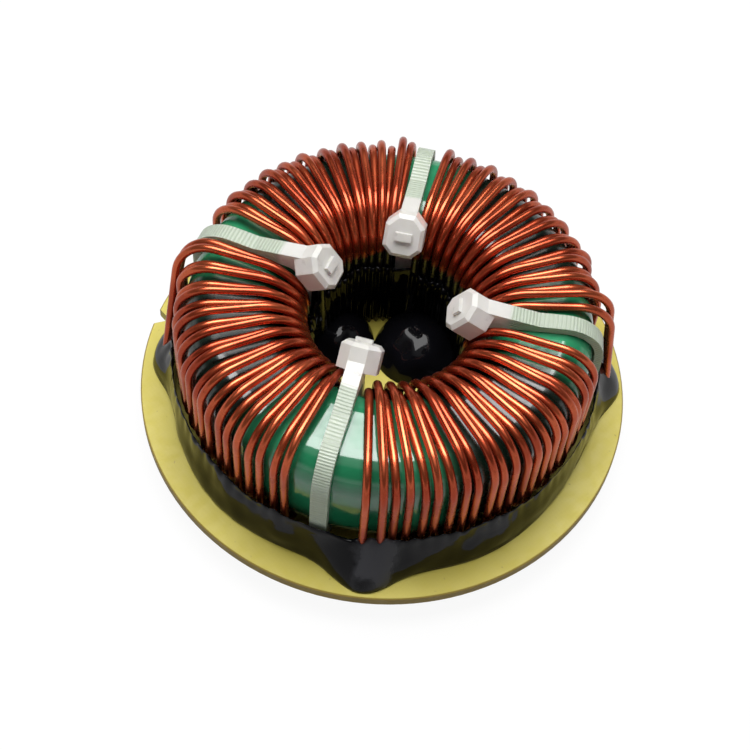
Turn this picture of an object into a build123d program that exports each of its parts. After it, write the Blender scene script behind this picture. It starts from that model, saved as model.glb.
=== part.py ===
from build123d import *
import os
from math import cos, degrees, exp, radians, sin

# A toroidal inductor: four windings of two strands each on a coated ring core, which lies
# on a round base plate, bound by four ties and set in epoxy. Millimetres. The origin is the
# centre of the plate's underside, and +Z runs up through the ring's hole.

# Base plate
plate_radius = 30.0
plate_thickness = 1.5
plate_edge_break = 0.15
notch_angle = 167.6
notch_depth = 1.3
notch_mouth = 2.0
notch_root = 0.7

# Ring core
core_outer_radius = 24.2
core_inner_radius = 11.75
core_height = 14.7
core_corner = 3.9

# Enamelled wire and how it lies on the core
wire_diameter = 1.0
wire_gap = 0.1
layer_gap = 0.08
layer_rise = 0.7
seat_gap = 0.05
strands = 2
turns = 11
leg_sway = 0.15
leg_bulge = 0.3
stray_bulge = 1.7
stray_rise = 1.2

# Leads, which run down through the plate and end in tinned tips
bare_diameter = 0.95
bare_start = 0.3
tip_chamfer = 0.12
lead_length = 3.5
lead_spacing = 2.15
lead_rise = 3.2
lead_bend = 6.0
lead_bulge = 1.0
lead_hole_gap = 0.15
finish_lean = 0.2
finish_step = 1.1
finish_turn = 4.0

# Ties
tie_width = 2.0
tie_thickness = 1.0
tie_gap = 0.2
tie_bend = 1.2
head_width = 4.7
head_length = 5.2
head_thickness = 3.2
head_tilt = 52.0
head_flare = 1.4
head_nose = 1.1
head_edge = 0.45
head_gap = 0.5
stub_height = 0.5
ramp_run = 6.9

# Epoxy
epoxy_gap = 0.25
tunnel_gap = 0.1
bead_height = 6.6
bead_foot = 0.95
bead_rim = 0.35
bead_ripple = 0.35
bead_points = 48
lining_thickness = 0.5
lining_height = 11.0

# Where each winding starts and ends: its outer and inner angles in degrees, the angle of its
# two starting leads, how far they stand out from the windings, and the row of a stray turn
windings = {
    "front_right": {"outer": (-91.5, -14.5), "inner": (-98.6, -17.6), "lead": (-89.5, 0.45), "stray": None},
    "back_right": {"outer": (3.5, 76.5), "inner": (1.4, 74.6), "lead": (4.0, 2.15), "stray": 6},
    "back_left": {"outer": (87.4, 151.5), "inner": (91.7, 151.5), "lead": (89.5, 0.75), "stray": None},
    "front_left": {"outer": (164.8, 246.6), "inner": (168.6, 244.2), "lead": (179.5, 1.75), "stray": None},
}

# Each tie's angle at the hole and at the outside
ties = {
    "front": (-106.8, -103.8),
    "right": (-7.4, -3.8),
    "back": (83.8, 83.2),
    "left": (160.0, 160.7),
}

# Lobes of the outer bead over the starting leads: angle, reach beyond the foot, half width
bead_lobes = ((-91.0, 3.2, 6.5), (4.0, 2.8, 6.0), (90.0, 2.1, 6.0), (180.5, 2.5, 6.0))

# Mounds in the hole over the finishing leads: angle, distance from the lining, radius, height
mounds = ((50.4, 2.55, 5.6, 4.6), (139.4, 0.9, 4.5, 3.9), (-17.6, 0.9, 2.4, 2.6), (-115.9, 0.9, 2.4, 2.6))

wire_radius = wire_diameter / 2
wires = strands * turns
wire_offset = wire_gap + wire_radius
layer_step = wire_diameter + layer_gap
core_bottom = plate_thickness + seat_gap + (strands - 1) * layer_step + wire_diameter + wire_gap
core_top = core_bottom + core_height
outer_leg = core_outer_radius + wire_offset
inner_leg = core_inner_radius - wire_offset
wound_outer = outer_leg + wire_radius
wound_inner = inner_leg - (strands - 1) * layer_step - wire_radius
bend = core_corner + wire_offset
bead_wall = wound_outer + epoxy_gap
bead_top = plate_thickness + bead_height
lining_wall = wound_inner - epoxy_gap
upward = Vector(0, 0, 1)


def polar(radius, angle, z=0.0):
    return Vector(radius * cos(radians(angle)), radius * sin(radians(angle)), z)


def between(pair, share):
    return pair[0] + (pair[1] - pair[0]) * share


def start_place(winding, strand):
    """Radius and angle of a strand's starting lead; the strands' leads stand side by side."""
    angle, reach = winding["lead"]
    radius = wound_outer + reach
    side = strand - (strands - 1) / 2
    return radius, angle + degrees(side * lead_spacing / radius)


def finish_place(winding, strand):
    """Radius and angle of a strand's finishing lead; the second stands further in."""
    row = wires - strands + strand
    angle = between(winding["inner"], row / (wires - 1))
    if strand == 0:
        return inner_leg - finish_lean, angle + finish_turn
    return inner_leg - layer_step - finish_step, angle


def outer_top(winding, row):
    """Top outer corner of a turn, each a little out of line with the next."""
    angle = between(winding["outer"], row / (wires - 1))
    sway = degrees(leg_sway * sin(2.4 * row + winding["lead"][0]) / outer_leg)
    bulge = leg_bulge * (0.5 + 0.5 * sin(1.7 * row + winding["lead"][0]))
    if row < strands:
        bulge = min(lead_bulge, winding["lead"][1])
    if row == winding["stray"]:
        bulge = stray_bulge
    return outer_leg + bulge, angle + sway


def strand_route(winding, strand):
    """Corners of one strand's centre line and the bend radius at each corner between its ends."""
    step = layer_step * strand
    inner_radius = inner_leg - step
    top = core_top + wire_offset
    bottom = core_bottom - wire_offset
    start = start_place(winding, strand)
    finish = finish_place(winding, strand)
    points = [polar(*start, -bare_start), polar(*start, lead_rise)]
    bends = [lead_bend]
    for turn in range(turns):
        row = strands * turn + strand
        radius, angle = outer_top(winding, row)
        inner_angle = between(winding["inner"], row / (wires - 1))
        if turn > 0:
            points.append(polar(outer_leg, angle, bottom - step))
            bends.append(bend)
        if row == winding["stray"]:
            points.append(polar(outer_leg, angle, bead_top + stray_rise))
            bends.append(lead_bend / 2)
        points.append(polar(radius, angle, top + layer_rise * step))
        points.append(polar(inner_radius, inner_angle, top + step))
        bends += [bend, bend + step]
        if turn < turns - 1:
            points.append(polar(inner_radius, inner_angle, bottom - step))
            bends.append(bend + step)
    points += [polar(*finish, lead_rise), polar(*finish, -bare_start)]
    bends.append(lead_bend)
    return points, bends


def tube(points, bends, radius):
    path = FilletPolyline(*points, radius=bends)
    section = Plane(origin=path @ 0, z_dir=path % 0) * Circle(radius)
    return sweep(section, path=path)


def bare_tip(place):
    """The stripped and tinned end of a lead, chamfered at its end."""
    length = lead_length - bare_start
    tip = Cylinder(bare_diameter / 2, length, align=(Align.CENTER, Align.CENTER, Align.MAX))
    tip = chamfer(tip.edges().sort_by(Axis.Z)[0], tip_chamfer)
    return Location(polar(*place, -bare_start)) * tip


def winding_strand(winding, strand):
    """One continuous wire: its starting lead, eleven turns round the core and its finishing lead."""
    points, bends = strand_route(winding, strand)
    wire = tube(points, bends, wire_radius)
    wire += bare_tip(start_place(winding, strand))
    wire += bare_tip(finish_place(winding, strand))
    return wire


def start_tunnel(winding, strand):
    """Room for a starting lead, from under the plate to the top of its first leg."""
    points, bends = strand_route(winding, strand)
    return tube(points[:3], bends[:1], wire_radius + tunnel_gap)


def finish_tunnel(winding, strand):
    """Room for a finishing lead, from its last inner leg down through the plate."""
    points, bends = strand_route(winding, strand)
    return tube(points[-3:], bends[-1:], wire_radius + tunnel_gap)


def base_plate():
    """The round plate, with a notch in its rim and a hole for each lead."""
    plate = Cylinder(plate_radius, plate_thickness, align=(Align.CENTER, Align.CENTER, Align.MIN))
    plate = chamfer(plate.edges(), plate_edge_break)
    notch = Polyline(
        (plate_radius - notch_depth, -notch_root / 2),
        (plate_radius - notch_depth, notch_root / 2),
        (plate_radius + notch_depth, notch_mouth),
        (plate_radius + notch_depth, -notch_mouth),
        close=True,
    )
    plate -= Rot(Z=notch_angle) * extrude(make_face(notch), plate_thickness)
    hole = Cylinder(wire_radius + lead_hole_gap, 4 * plate_thickness)
    for winding in windings.values():
        for strand in range(strands):
            plate -= Location(polar(*start_place(winding, strand))) * hole
            plate -= Location(polar(*finish_place(winding, strand))) * hole
    return plate


def ring_core():
    """The coated ring: a rectangular section with well rounded corners, turned about Z."""
    width = core_outer_radius - core_inner_radius
    middle = Location((core_inner_radius + width / 2, core_bottom + core_height / 2))
    section = middle * RectangleRounded(width, core_height, core_corner)
    return revolve(Plane.XZ * section, Axis.Z)


def tie_plane(angles):
    """Upright plane of a tie: x runs outward from the core's inner wall, and y runs up."""
    start = polar(core_inner_radius - tie_gap, angles[0])
    end = polar(core_outer_radius + tie_gap, angles[1])
    outward = (end - start).normalized()
    plane = Plane(origin=start, x_dir=outward, z_dir=outward.cross(upward))
    return plane, (end - start).length


def strap_outline(length, margin):
    """The strap's loop round the core's section, at a margin beyond the gap to the core."""
    low, high = core_bottom - tie_gap - margin, core_top + tie_gap + margin
    corner = core_corner + tie_gap + margin
    corners = [(-margin, low), (length + margin, low), (length + margin, high), (-margin, high)]
    bends = [corner, corner, corner, tie_bend + margin]
    return make_face(FilletPolyline(*corners, radius=bends, close=True))


def head_base():
    """Middle of the head's underside in its tie's plane, and the head's two directions there."""
    tilt = radians(head_tilt)
    along = Vector(cos(tilt), sin(tilt))
    away = Vector(-sin(tilt), cos(tilt))
    middle = Vector(bend + tie_gap - wire_offset, core_top + wire_offset - bend)
    return middle + away * (bend + layer_step + wire_radius + head_gap), along, away


def tie_head(plane):
    """The lock: a block that flares from the strap's width, with the cut tail on its top."""
    base, along, away = head_base()
    half = head_width / 2
    back = head_length / 2
    shoulder = back - head_flare
    cheek = head_nose - head_length / 2
    outline = [(back, tie_width / 2), (shoulder, half), (cheek, half), (cheek - head_nose, half - head_nose)]
    outline += [(x, -y) for x, y in reversed(outline)]
    block = extrude(make_face(Polyline(*outline, close=True)), head_thickness)
    block = chamfer(block.faces().sort_by(Axis.Z)[-1].edges(), head_edge)
    block += Location((0, 0, head_thickness)) * Box(tie_thickness, tie_width, 2 * stub_height)
    x_dir = plane.x_dir * along.X + upward * along.Y
    z_dir = plane.x_dir * away.X + upward * away.Y
    return Plane(origin=plane.from_local_coords(base), x_dir=x_dir, z_dir=z_dir).location * block


def tie_ramp(plane):
    """The strap's rise from the top of the core to the back of the head."""
    base, along, away = head_base()
    strap_top = core_top + tie_gap + tie_thickness
    side = Polyline(
        base + along * (head_length - head_edge) / 2 + away * head_thickness / 2,
        (base.X + ramp_run, strap_top),
        (base.X + ramp_run, strap_top - tie_thickness),
        (0, strap_top - tie_thickness),
        base - along * head_length / 4,
        close=True,
    )
    return extrude(plane * make_face(side), tie_width / 2, both=True)


def cable_tie(angles):
    """A strap round the core's section, with its head on the windings' inner top edge."""
    plane, length = tie_plane(angles)
    band = strap_outline(length, tie_thickness) - strap_outline(length, 0)
    strap = extrude(plane * band, tie_width / 2, both=True)
    return strap + tie_ramp(plane) + tie_head(plane)


def bead_reach(angle):
    """How far the bead's foot stands out from its wall at an angle."""
    reach = bead_foot + bead_ripple * sin(radians(5 * angle + 40))
    for centre, lobe, half_width in bead_lobes:
        offset = (angle - centre + 180) % 360 - 180
        reach += lobe * exp(-((offset / half_width) ** 2) / 2)
    return reach


def bead_outline(share, margin, z):
    """Closed curve round the bead, at a share of the foot's reach and an even margin."""
    points = []
    for i in range(bead_points):
        angle = 360 * i / bead_points
        points.append(polar(bead_wall + margin + share * bead_reach(angle), angle))
    return Location((0, 0, z)) * make_face(Spline(*points, periodic=True))


def glue_bead():
    """The epoxy round the foot of the windings, lobed over the starting leads."""
    foot = bead_outline(1, 0, plate_thickness)
    waist = bead_outline(0.66, bead_rim / 2, plate_thickness + 0.42 * bead_height)
    rim = bead_outline(0.06, bead_rim, bead_top)
    bead = loft([foot, waist, rim])
    bead -= Cylinder(bead_wall, 4 * bead_top)
    for winding in windings.values():
        for strand in range(strands):
            bead -= start_tunnel(winding, strand)
    return bead


def glue_pool():
    """The epoxy in the hole: a lining on the windings, and mounds on the plate."""
    standing = (Align.CENTER, Align.CENTER, Align.MIN)
    room = Cylinder(lining_wall, lining_height, align=standing)
    lining_bore = lining_wall - lining_thickness
    pool = room - Cylinder(lining_bore, lining_height, align=standing)
    for angle, inset, radius, height in mounds:
        ball = (radius**2 + height**2) / (2 * height)
        middle = polar(lining_bore - inset, angle, height - ball)
        pool += (Location(middle) * Sphere(ball)) & room
    pool = Location((0, 0, plate_thickness)) * pool
    for winding in windings.values():
        for strand in range(strands):
            pool -= finish_tunnel(winding, strand)
    return pool


def write(node, solid):
    export_step(solid, f"parts/{node}.step")


os.makedirs("parts", exist_ok=True)
write("base_plate", base_plate())
write("ring_core", ring_core())
for name, winding in windings.items():
    for strand in range(strands):
        write(f"winding_{name}_{'ab'[strand]}", winding_strand(winding, strand))
for name, angles in ties.items():
    write(f"tie_{name}", cable_tie(angles))
write("glue_bead", glue_bead())
write("glue_pool", glue_pool())
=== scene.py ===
from math import atan2, cos, degrees, exp, pi, radians, sin, tan

import bmesh
import bpy
from mathutils import Matrix, Vector
from mathutils import noise as fractal


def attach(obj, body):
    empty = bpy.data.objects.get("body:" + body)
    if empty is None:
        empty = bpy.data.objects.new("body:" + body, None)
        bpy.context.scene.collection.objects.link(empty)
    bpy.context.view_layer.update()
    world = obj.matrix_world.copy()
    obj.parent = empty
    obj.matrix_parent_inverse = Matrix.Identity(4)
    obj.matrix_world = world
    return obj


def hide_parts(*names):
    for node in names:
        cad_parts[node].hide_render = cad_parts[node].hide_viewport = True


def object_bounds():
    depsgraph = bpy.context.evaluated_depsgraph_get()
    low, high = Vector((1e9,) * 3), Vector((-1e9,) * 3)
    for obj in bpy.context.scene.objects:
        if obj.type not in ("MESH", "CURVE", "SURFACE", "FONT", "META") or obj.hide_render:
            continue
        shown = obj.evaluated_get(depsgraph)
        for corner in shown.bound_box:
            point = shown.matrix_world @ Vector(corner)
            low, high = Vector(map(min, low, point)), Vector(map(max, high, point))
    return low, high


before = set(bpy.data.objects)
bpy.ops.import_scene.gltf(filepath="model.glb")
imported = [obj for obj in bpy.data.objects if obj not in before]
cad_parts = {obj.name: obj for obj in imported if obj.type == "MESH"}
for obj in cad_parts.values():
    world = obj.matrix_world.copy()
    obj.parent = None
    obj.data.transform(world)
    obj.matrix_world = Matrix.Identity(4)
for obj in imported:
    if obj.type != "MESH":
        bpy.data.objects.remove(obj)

cad_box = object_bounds()
mm = 0.001

# Sizes shared with the CAD, in millimetres and degrees
plate_thickness = 1.5
wire_diameter = 1.0
wire_radius = wire_diameter / 2
layer_step = wire_diameter + 0.08
layer_rise = 0.7
lead_spacing, lead_rise, lead_bend, lead_bulge = 2.15, 3.2, 6.0, 1.0
lead_length, bare_start, bare_share = 3.5, 0.3, 0.95
core_outer, core_inner, core_height, core_corner = 24.2, 11.75, 14.7, 3.9
core_bottom = plate_thickness + 0.05 + layer_step + wire_diameter + 0.1
core_top = core_bottom + core_height
wire_offset = 0.1 + wire_radius
outer_leg = core_outer + wire_offset
inner_leg = core_inner - wire_offset
wound_outer = outer_leg + wire_radius
wound_inner = inner_leg - layer_step - wire_radius
bend = core_corner + wire_offset
strands, turns = 2, 11
wires = strands * turns
bead_height, lining_height = 6.6, 11.0
bead_top = plate_thickness + bead_height
windings = {
    "front_right": {"outer": (-91.5, -14.5), "inner": (-98.6, -17.6), "lead": (-89.5, 0.45), "stray": None},
    "back_right": {"outer": (3.5, 76.5), "inner": (1.4, 74.6), "lead": (4.0, 2.15), "stray": 6},
    "back_left": {"outer": (87.4, 151.5), "inner": (91.7, 151.5), "lead": (89.5, 0.75), "stray": None},
    "front_left": {"outer": (164.8, 246.6), "inner": (168.6, 244.2), "lead": (179.5, 1.75), "stray": None},
}


def polar(radius, angle, z=0.0):
    return Vector((radius * cos(radians(angle)), radius * sin(radians(angle)), z))


def between(pair, share):
    return pair[0] + (pair[1] - pair[0]) * share


# Node material helpers

def new_material(name):
    material = bpy.data.materials.new(name)
    material.use_nodes = True
    tree = material.node_tree
    shader = tree.nodes["Principled BSDF"]
    place = tree.nodes.new("ShaderNodeTexCoord").outputs["Object"]
    return material, tree, shader, place


def noise(tree, place, scale, detail=3.0, roughness=0.5):
    node = tree.nodes.new("ShaderNodeTexNoise")
    node.inputs["Scale"].default_value = scale
    node.inputs["Detail"].default_value = detail
    node.inputs["Roughness"].default_value = roughness
    tree.links.new(place, node.inputs["Vector"])
    return node.outputs["Fac"]


def math(tree, operation, a, b=0.0):
    node = tree.nodes.new("ShaderNodeMath")
    node.operation = operation
    for socket, value in zip(node.inputs, (a, b)):
        if isinstance(value, (int, float)):
            socket.default_value = value
        else:
            tree.links.new(value, socket)
    return node.outputs[0]


def ramp(tree, value, low, high, low_out=0.0, high_out=1.0):
    node = tree.nodes.new("ShaderNodeMapRange")
    node.interpolation_type = "SMOOTHSTEP"
    for name, number in (("From Min", low), ("From Max", high), ("To Min", low_out), ("To Max", high_out)):
        node.inputs[name].default_value = number
    tree.links.new(value, node.inputs["Value"])
    return node.outputs["Result"]


def mix(tree, share, a, b):
    node = tree.nodes.new("ShaderNodeMix")
    node.data_type = "RGBA"
    sockets = (node.inputs["Factor"], node.inputs[6], node.inputs[7])
    for socket, value in zip(sockets, (share, a, b)):
        if isinstance(value, float):
            socket.default_value = value
        elif isinstance(value, tuple):
            socket.default_value = (*value, 1.0)
        else:
            tree.links.new(value, socket)
    return node.outputs[2]


def bump(tree, shader, height, distance, strength=1.0):
    node = tree.nodes.new("ShaderNodeBump")
    node.inputs["Distance"].default_value = distance
    node.inputs["Strength"].default_value = strength
    tree.links.new(height, node.inputs["Height"])
    tree.links.new(node.outputs["Normal"], shader.inputs["Normal"])


def axes_of(tree, place):
    split = tree.nodes.new("ShaderNodeSeparateXYZ")
    tree.links.new(place, split.inputs[0])
    x, y, z = split.outputs
    radius = math(tree, "SQRT", math(tree, "ADD", math(tree, "MULTIPLY", x, x), math(tree, "MULTIPLY", y, y)))
    return x, y, z, radius


# Enamelled copper, tinned below the plate, and near black on the inner legs in the hole: black epoxy coat low
# down, painted shade above it
def wire_material():
    material, tree, shader, place = new_material("enamelled_wire")
    x, y, z, radius = axes_of(tree, place)
    broad = noise(tree, place, 160.0, 2.0)
    fine = noise(tree, place, 380.0, 2.0)
    warm = mix(tree, ramp(tree, broad, 0.35, 0.68), (0.40, 0.055, 0.020), (0.62, 0.125, 0.048))
    enamel = mix(tree, ramp(tree, fine, 0.55, 0.80, 0.0, 0.25), warm, (0.22, 0.030, 0.012))
    tinned = ramp(tree, z, -0.00035, -0.00028, 1.0, 0.0)
    # painted shade: the inner legs are coloured near black higher up than the epoxy lining reaches; lower
    # down this stands for the lining's black coat
    edge = math(tree, "ADD", z, math(tree, "MULTIPLY", math(tree, "SUBTRACT", broad, 0.5), 0.006))
    inside = ramp(tree, radius, 0.0118, 0.0122, 1.0, 0.0)
    black_coat_and_painted_shade = math(tree, "MULTIPLY", inside, ramp(tree, edge, 0.0156, 0.0142, 0.0, 1.0))
    bare = mix(tree, tinned, enamel, (0.62, 0.62, 0.60))
    tree.links.new(mix(tree, black_coat_and_painted_shade, bare, (0.007, 0.007, 0.008)), shader.inputs["Base Color"])
    metallic = math(tree, "SUBTRACT", 0.88, math(tree, "MULTIPLY", black_coat_and_painted_shade, 0.88))
    tree.links.new(metallic, shader.inputs["Metallic"])
    tree.links.new(ramp(tree, fine, 0.3, 0.75, 0.22, 0.32), shader.inputs["Roughness"])
    shader.inputs["Coat Weight"].default_value = 0.15
    shader.inputs["Coat Roughness"].default_value = 0.10
    bump(tree, shader, noise(tree, place, 300.0, 1.0), 0.00003, 0.3)
    return material


# Gloss coat of the core, darkened under the windings by painted shade; angle and half width of
# each place where it shows unshaded
unshaded_core_gaps = ((-100.0, 26.0), (-5.5, 13.0), (83.5, 10.0), (160.5, 12.0))


def core_material():
    material, tree, shader, place = new_material("core_coat")
    x, y, z, radius = axes_of(tree, place)
    shade = noise(tree, place, 110.0, 3.0)
    coat = mix(tree, ramp(tree, shade, 0.35, 0.7), (0.010, 0.140, 0.058), (0.030, 0.260, 0.120))
    bare = 0.0
    for middle, wide in unshaded_core_gaps:
        facing = math(tree, "ADD", math(tree, "MULTIPLY", x, cos(radians(middle))),
                      math(tree, "MULTIPLY", y, sin(radians(middle))))
        facing = math(tree, "DIVIDE", facing, radius)
        seen = ramp(tree, facing, cos(radians(wide + 9)), cos(radians(wide)))
        bare = math(tree, "MAXIMUM", bare, seen)
    # painted shade: the core is coloured near black under the windings and keeps its green only in the gaps
    tree.links.new(mix(tree, bare, (0.006, 0.018, 0.011), coat), shader.inputs["Base Color"])
    gloss = ramp(tree, noise(tree, place, 500.0), 0.3, 0.8, 0.10, 0.22)
    dull = math(tree, "MULTIPLY", math(tree, "SUBTRACT", 1.0, bare), 0.12)
    tree.links.new(math(tree, "ADD", gloss, dull), shader.inputs["Roughness"])
    shader.inputs["Coat Weight"].default_value = 0.6
    shader.inputs["Coat Roughness"].default_value = 0.04
    bump(tree, shader, noise(tree, place, 230.0, 2.0), 0.00012, 0.6)
    return material


# Milky nylon with the strap's cross ribs, and the core's green painted into the strap as light through it
def nylon_material():
    material, tree, shader, place = new_material("nylon")
    x, y, z, radius = axes_of(tree, place)
    dirt = ramp(tree, noise(tree, place, 700.0, 5.0, 0.65), 0.58, 0.78, 0.0, 0.5)
    milk = mix(tree, ramp(tree, noise(tree, place, 200.0), 0.3, 0.7), (0.72, 0.71, 0.67), (0.82, 0.80, 0.77))
    strap = ramp(tree, radius, 0.0136, 0.0144)
    # painted light: the core's green showing through the strap is painted into its colour
    strap_with_painted_core_green = mix(tree, strap, milk, (0.50, 0.57, 0.46))
    tree.links.new(mix(tree, dirt, strap_with_painted_core_green, (0.36, 0.34, 0.29)), shader.inputs["Base Color"])
    shader.inputs["Transmission Weight"].default_value = 0.30
    shader.inputs["IOR"].default_value = 1.53
    tree.links.new(ramp(tree, noise(tree, place, 900.0), 0.3, 0.8, 0.28, 0.46), shader.inputs["Roughness"])
    shader.inputs["Subsurface Weight"].default_value = 0.35
    shader.inputs["Subsurface Radius"].default_value = (1.0, 1.0, 0.8)
    shader.inputs["Subsurface Scale"].default_value = 0.0009
    along = math(tree, "SUBTRACT", radius, z)
    rib = math(tree, "SINE", math(tree, "MULTIPLY", along, 2 * pi / 0.0005))
    grain = math(tree, "MULTIPLY", noise(tree, place, 1500.0), 0.4)
    bump(tree, shader, math(tree, "ADD", math(tree, "MULTIPLY", rib, strap), grain), 0.00004, 0.6)
    return material


# Black epoxy, with a dull grey patch over the front leads
def epoxy_material():
    material, tree, shader, place = new_material("epoxy")
    x, y, z, radius = axes_of(tree, place)
    wide = math(tree, "ABSOLUTE", math(tree, "SUBTRACT", x, 0.0006))
    ragged = math(tree, "MULTIPLY", math(tree, "SUBTRACT", noise(tree, place, 260.0, 4.0), 0.5), 0.004)
    across = ramp(tree, math(tree, "ADD", wide, ragged), 0.0016, 0.0027, 1.0, 0.0)
    front = ramp(tree, y, -0.0248, -0.0238, 1.0, 0.0)
    lower = ramp(tree, math(tree, "ADD", radius, ragged), 0.0292, 0.0282)
    patch = math(tree, "MULTIPLY", math(tree, "MULTIPLY", across, front), lower)
    black = mix(tree, patch, (0.003, 0.003, 0.004), (0.040, 0.040, 0.045))
    tree.links.new(black, shader.inputs["Base Color"])
    gloss = ramp(tree, noise(tree, place, 320.0, 3.0), 0.35, 0.75, 0.05, 0.14)
    tree.links.new(math(tree, "ADD", gloss, math(tree, "MULTIPLY", patch, 0.3)), shader.inputs["Roughness"])
    shader.inputs["Specular IOR Level"].default_value = 0.16
    swell = noise(tree, place, 170.0, 1.0, 0.4)
    pits = math(tree, "MULTIPLY", noise(tree, place, 900.0, 2.0), 0.06)
    bump(tree, shader, math(tree, "ADD", swell, pits), 0.0006, 0.35)
    return material


# Ochre laminate, with its rim darkened by painted shade
def plate_material():
    material, tree, shader, place = new_material("laminate")
    x, y, z, radius = axes_of(tree, place)
    cloud = ramp(tree, noise(tree, place, 70.0, 3.0), 0.3, 0.7)
    face = mix(tree, cloud, (0.44, 0.370, 0.048), (0.53, 0.455, 0.080))
    warp = math(tree, "SINE", math(tree, "MULTIPLY", x, 2 * pi / 0.0007))
    weft = math(tree, "SINE", math(tree, "MULTIPLY", y, 2 * pi / 0.0007))
    weave = math(tree, "MULTIPLY", warp, weft)
    woven = mix(tree, ramp(tree, weave, -1.0, 1.0, 0.0, 0.05), face, (0.36, 0.28, 0.06))
    speck = ramp(tree, noise(tree, place, 1300.0, 2.0), 0.70, 0.76, 0.0, 0.5)
    specked = mix(tree, speck, woven, (0.24, 0.18, 0.05))
    # painted shade: the rim is coloured darker brown
    painted_rim_shade = ramp(tree, radius, 0.02975, 0.02995)
    tree.links.new(mix(tree, painted_rim_shade, specked, (0.25, 0.175, 0.034)), shader.inputs["Base Color"])
    tree.links.new(ramp(tree, noise(tree, place, 800.0), 0.3, 0.8, 0.42, 0.60), shader.inputs["Roughness"])
    shader.inputs["Specular IOR Level"].default_value = 0.4
    grain = math(tree, "ADD", math(tree, "MULTIPLY", weave, 0.1), noise(tree, place, 1100.0, 3.0))
    bump(tree, shader, grain, 0.00004, 0.4)
    return material


materials = {
    "wire": wire_material(),
    "core": core_material(),
    "nylon": nylon_material(),
    "epoxy": epoxy_material(),
    "plate": plate_material(),
}


def dress(obj, material):
    obj.data.materials.clear()
    obj.data.materials.append(material)


for name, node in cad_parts.items():
    kind = "wire"
    for key, value in (("base", "plate"), ("ring", "core"), ("tie", "nylon"), ("glue", "epoxy")):
        if name.startswith(key):
            kind = value
    dress(node, materials[kind])


# Windings: smooth wires on the CAD's own routes

def strand_route(winding, strand):
    angle, reach = winding["lead"]
    place = wound_outer + reach
    start = (place, angle + degrees((strand - (strands - 1) / 2) * lead_spacing / place))
    last = between(winding["inner"], (wires - strands + strand) / (wires - 1))
    finish = (inner_leg - 0.2, last + 4.0) if strand == 0 else (inner_leg - layer_step - 1.1, last)
    step = layer_step * strand
    top = core_top + wire_offset
    bottom = core_bottom - wire_offset
    points = [polar(*start, -bare_start), polar(*start, lead_rise)]
    bends = [0, lead_bend]
    for turn in range(turns):
        row = strands * turn + strand
        inner = between(winding["inner"], row / (wires - 1))
        sway = degrees(0.15 * sin(2.4 * row + angle) / outer_leg)
        outer = between(winding["outer"], row / (wires - 1)) + sway
        bulge = 0.3 * (0.5 + 0.5 * sin(1.7 * row + angle))
        if row < strands:
            bulge = min(lead_bulge, reach)
        if turn > 0:
            points.append(polar(outer_leg, outer, bottom - step))
            bends.append(bend)
        if row == winding["stray"]:
            bulge = 1.7
            points.append(polar(outer_leg, outer, bead_top + 1.2))
            bends.append(lead_bend / 2)
        points.append(polar(outer_leg + bulge, outer, top + layer_rise * step))
        points.append(polar(inner_leg - step, inner, top + step))
        bends += [bend, bend + step]
        if turn < turns - 1:
            points.append(polar(inner_leg - step, inner, bottom - step))
            bends.append(bend + step)
    points += [polar(*finish, lead_rise), polar(*finish, -bare_start)]
    bends += [lead_bend, 0]
    return points, bends


def rounded(points, bends, steps):
    """The route with an arc at each corner."""
    path = [points[0]]
    for before, corner, after, radius in zip(points, points[1:], points[2:], bends[1:]):
        a = (before - corner).normalized()
        b = (after - corner).normalized()
        turn = pi - a.angle(b)
        reach = radius * tan(turn / 2)
        centre = corner + (a + b).normalized() * (radius / cos(turn / 2))
        start, end = corner + a * reach - centre, corner + b * reach - centre
        for i in range(steps + 1):
            share = i / steps
            path.append(centre + (start * sin((1 - share) * turn) + end * sin(share * turn)) / sin(turn))
    path.append(points[-1])
    return path


def wire_curve(name, path, depth):
    data = bpy.data.curves.new(name, "CURVE")
    data.dimensions = "3D"
    data.bevel_depth = depth * mm
    data.bevel_resolution = 5
    data.use_fill_caps = True
    data.twist_mode = "MINIMUM"
    spline = data.splines.new("POLY")
    spline.points.add(len(path) - 1)
    for point, place in zip(spline.points, path):
        point.co = (*(place * mm), 1.0)
    spline.use_smooth = True
    obj = bpy.data.objects.new(name, data)
    bpy.context.scene.collection.objects.link(obj)
    return obj


# Epoxy: the CAD's bead and pool, with flutes along the wires and an uneven edge
bead_lobes = ((-91.0, 3.2, 6.5), (4.0, 2.8, 6.0), (90.0, 2.1, 6.0), (180.5, 2.5, 6.0))
mounds = ((50.4, 2.55, 5.6, 4.6), (139.4, 0.9, 4.5, 3.9), (-17.6, 0.9, 2.4, 2.6), (-115.9, 0.9, 2.4, 2.6))
lining_bore = wound_inner - 0.25 - 0.5
bead_profile = (
    (0.0, 0.0), (1.0, 0.0), (0.99, 0.06), (0.95, 0.14), (0.86, 0.26), (0.74, 0.37), (0.60, 0.48),
    (0.44, 0.61), (0.29, 0.75), (0.17, 0.87), (0.09, 0.95), (0.03, 0.99), (-0.03, 1.0), (-0.10, 0.98),
)


def offset(angle, centre):
    return (angle - centre + 180) % 360 - 180


def bead_reach(angle):
    reach = 0.95 + 0.35 * sin(radians(5 * angle + 40))
    for centre, lobe, half_width in bead_lobes:
        reach += lobe * exp(-((offset(angle, centre) / half_width) ** 2) / 2)
    return reach


def rows_at(angle, side):
    """Where an angle falls between a winding's wires, counted in wires, or None in a gap."""
    for winding in windings.values():
        low, high = winding[side]
        share = ((angle - low + 30) % 360 - 30) / (high - low)
        if -0.03 < share < 1.03:
            return share * (wires - 1)
    return None


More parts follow.
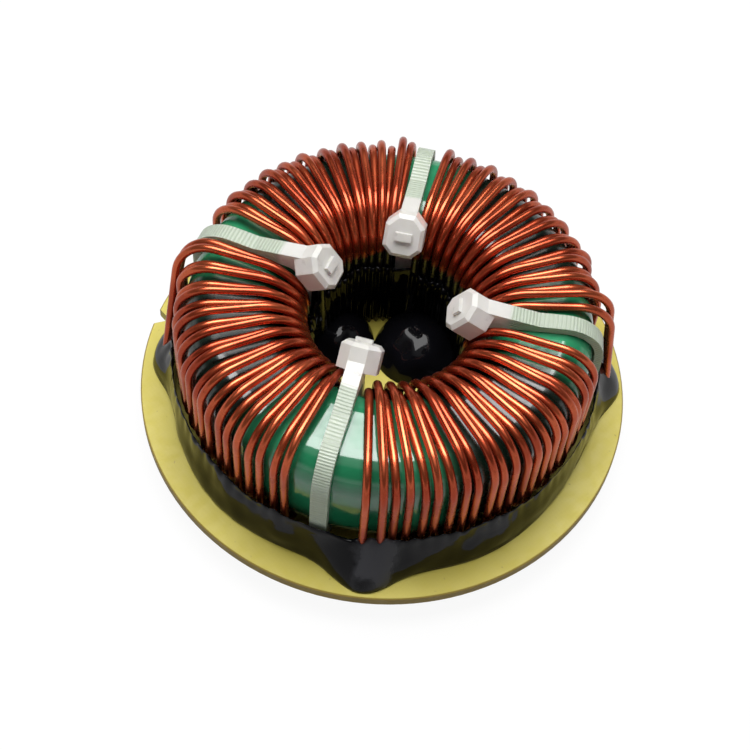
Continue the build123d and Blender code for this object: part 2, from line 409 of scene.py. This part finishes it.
def ring_mesh(profile, steps):
    """A closed ring spun from a profile of two numbers a point, which the caller then places."""
    bm = bmesh.new()
    corners = [bm.verts.new((5 + x, 0, z)) for x, z in profile]
    for a, b in zip(corners, corners[1:] + corners[:1]):
        bm.edges.new((a, b))
    outline = bm.verts[:] + bm.edges[:]
    bmesh.ops.spin(bm, geom=outline, axis=(0, 0, 1), cent=(0, 0, 0), angle=2 * pi, steps=steps)
    bmesh.ops.remove_doubles(bm, verts=bm.verts, dist=0.0001)
    return bm


def finish_mesh(name, bm):
    bmesh.ops.recalc_face_normals(bm, faces=bm.faces)
    for face in bm.faces:
        face.smooth = True
    data = bpy.data.meshes.new(name)
    bm.to_mesh(data)
    bm.free()
    obj = bpy.data.objects.new(name, data)
    bpy.context.scene.collection.objects.link(obj)
    return obj


def wobble(place, size):
    return fractal.noise(place / size)


def bead_piece():
    bm = ring_mesh(bead_profile, 540)
    for vert in bm.verts:
        angle = degrees(atan2(vert.co.y, vert.co.x))
        share, height = vert.co.xy.length - 5, vert.co.z
        row = rows_at(angle, "outer")
        scallop = 0.0 if row is None else 0.28 * cos(2 * pi * row)
        around = polar(25, angle)
        rise = bead_height + 1.3 * wobble(around, 5.0) + 0.5 * wobble(around, 1.7) - scallop * height**4
        reach = bead_reach(angle) * share + 0.35 * height
        reach -= 0.2 * scallop * height**4
        place = polar(wound_outer + 0.25 + reach, angle, plate_thickness + rise * height)
        if 0 < height < 0.97 and share > 0.05:
            place += polar(0.26 * wobble(place, 4.0) + 0.10 * wobble(place, 1.8), angle)
        vert.co = place * mm
    return finish_mesh("epoxy_bead", bm)


def pool_piece():
    profile = ((0.0, 0.0), (0.5, 0.0), (0.5, 0.98), (0.35, 1.0), (0.15, 0.97), (0.03, 0.90))
    profile += tuple((0.0, 0.8 - 0.1 * i) for i in range(8))
    bm = ring_mesh(profile, 540)
    for vert in bm.verts:
        angle = degrees(atan2(vert.co.y, vert.co.x))
        depth, height = vert.co.xy.length - 5, vert.co.z
        row = rows_at(angle, "inner")
        flute = 0.3 if row is None else 0.2 - 0.22 * cos(pi * (row - 1))
        around = polar(10, angle)
        rise = lining_height + 1.4 * wobble(around, 3.0) + 0.6 * wobble(around, 1.0)
        place = polar(lining_bore + depth, angle, plate_thickness + rise * height)
        if depth < 0.4:
            place += polar(flute * (1 - depth) + 0.25 * wobble(place, 1.5), angle)
        vert.co = place * mm
    for angle, inset, radius, height in mounds:
        ball = (radius**2 + height**2) / (2 * height)
        middle = polar(lining_bore - inset, angle, plate_thickness + height - ball)
        cap = bmesh.new()
        bmesh.ops.create_uvsphere(cap, u_segments=96, v_segments=64, radius=ball)
        bmesh.ops.translate(cap, verts=cap.verts, vec=middle)
        floor_at = Vector((0, 0, plate_thickness))
        everything = cap.verts[:] + cap.edges[:] + cap.faces[:]
        bmesh.ops.bisect_plane(cap, geom=everything, plane_co=floor_at, plane_no=(0, 0, -1), clear_outer=True)
        bmesh.ops.holes_fill(cap, edges=[edge for edge in cap.edges if edge.is_boundary])
        for vert in cap.verts:
            up = vert.co.z - plate_thickness
            if up > 0.01:
                vert.co += (vert.co - middle).normalized() * (0.3 * wobble(vert.co, 2.2) * min(1, up))
            reach = vert.co.xy.length
            if reach > lining_bore + 0.4:
                vert.co.xy *= (lining_bore + 0.4) / reach
        for vert in cap.verts:
            vert.co *= mm
        part = bpy.data.meshes.new("cap")
        cap.to_mesh(part)
        cap.free()
        bm.from_mesh(part)
        bpy.data.meshes.remove(part)
    return finish_mesh("epoxy_pool", bm)


# Studio: pale floor, soft overhead lamp and a pale tent

def studio():
    bpy.ops.mesh.primitive_plane_add(size=4.0, location=(0, 0, cad_box[0][2]))
    floor = bpy.context.object
    floor.name = "floor"
    material = bpy.data.materials.new("floor")
    material.use_nodes = True
    tree = material.node_tree
    shader = tree.nodes["Principled BSDF"]
    shader.inputs["Base Color"].default_value = (0.42, 0.42, 0.42, 1)
    shader.inputs["Roughness"].default_value = 0.9
    glow = tree.nodes.new("ShaderNodeEmission")
    glow.inputs["Color"].default_value = (1.08, 1.08, 1.08, 1)
    seen = tree.nodes.new("ShaderNodeLightPath").outputs["Is Camera Ray"]
    blend = tree.nodes.new("ShaderNodeMixShader")
    tree.links.new(math(tree, "MULTIPLY", seen, 0.86), blend.inputs[0])
    tree.links.new(shader.outputs[0], blend.inputs[1])
    tree.links.new(glow.outputs[0], blend.inputs[2])
    tree.links.new(blend.outputs[0], tree.nodes["Material Output"].inputs["Surface"])
    floor.data.materials.append(material)

    world = bpy.data.worlds.new("tent")
    world.use_nodes = True
    bpy.context.scene.world = world
    tree = world.node_tree
    background = tree.nodes["Background"]
    direction = tree.nodes.new("ShaderNodeTexCoord").outputs["Generated"]
    split = tree.nodes.new("ShaderNodeSeparateXYZ")
    tree.links.new(direction, split.inputs[0])
    shade = tree.nodes.new("ShaderNodeValToRGB")
    shade.color_ramp.elements[0].position = 0.0
    shade.color_ramp.elements[0].color = (0.80, 0.80, 0.80, 1)
    shade.color_ramp.elements[1].position = 1.0
    shade.color_ramp.elements[1].color = (0.70, 0.70, 0.70, 1)
    for position, grey in ((0.18, 0.62), (0.34, 0.06), (0.78, 0.06), (0.86, 0.55)):
        shade.color_ramp.elements.new(position).color = (grey, grey, grey, 1)
    tree.links.new(split.outputs["Z"], shade.inputs[0])
    tree.links.new(shade.outputs["Color"], background.inputs["Color"])

    lamp = bpy.data.lights.new("overhead", "AREA")
    lamp.shape = "RECTANGLE"
    lamp.size = 0.50
    lamp.size_y = 0.34
    lamp.energy = 5.0
    overhead = bpy.data.objects.new("overhead", lamp)
    overhead.location = (-0.03, 0.12, 0.55)
    overhead.rotation_euler = (Vector((0, 0, 0.01)) - overhead.location).to_track_quat("-Z", "Y").to_euler()
    bpy.context.scene.collection.objects.link(overhead)


def camera():
    data = bpy.data.cameras.new("camera")
    data.sensor_width = 36.0
    data.lens = 81.19
    data.clip_start = 0.01
    place = Vector((-1.077, -113.672, 178.866)) * mm
    target = Vector((-1.077, -3.989, 8.571)) * mm
    forward = (target - place).normalized()
    side = Vector((1, 0, 0))
    upward = side.cross(forward)
    roll = radians(5.169)
    right = side * cos(roll) + upward * sin(roll)
    over = upward * cos(roll) - side * sin(roll)
    turned = Matrix((right, over, -forward)).transposed()
    obj = bpy.data.objects.new("camera", data)
    obj.matrix_world = Matrix.Translation(place) @ turned.to_4x4()
    bpy.context.scene.collection.objects.link(obj)
    bpy.context.scene.camera = obj


shoulder = Vector((0, 0, 0.02))
tip = Vector((0, 0, lead_length - bare_start))
for name, winding in windings.items():
    for strand in range(strands):
        node = f"winding_{name}_{'ab'[strand]}"
        points, bends = strand_route(winding, strand)
        path = rounded(points, bends, 12)
        path = [path[0] - tip, path[0] - shoulder, *path, path[-1] - shoulder, path[-1] - tip]
        wire = wire_curve(f"wire_{name}_{'ab'[strand]}", path, wire_radius)
        for end in (0, 1, -2, -1):
            wire.data.splines[0].points[end].radius = bare_share
        wire.data.materials.append(materials["wire"])
        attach(wire, "root")
        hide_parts(node)

for piece, node in ((bead_piece(), "glue_bead"), (pool_piece(), "glue_pool")):
    piece.data.materials.append(materials["epoxy"])
    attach(piece, "root")
    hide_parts(node)

studio()
camera()
bpy.context.scene.view_settings.view_transform = "Standard"

bpy.context.view_layer.update()
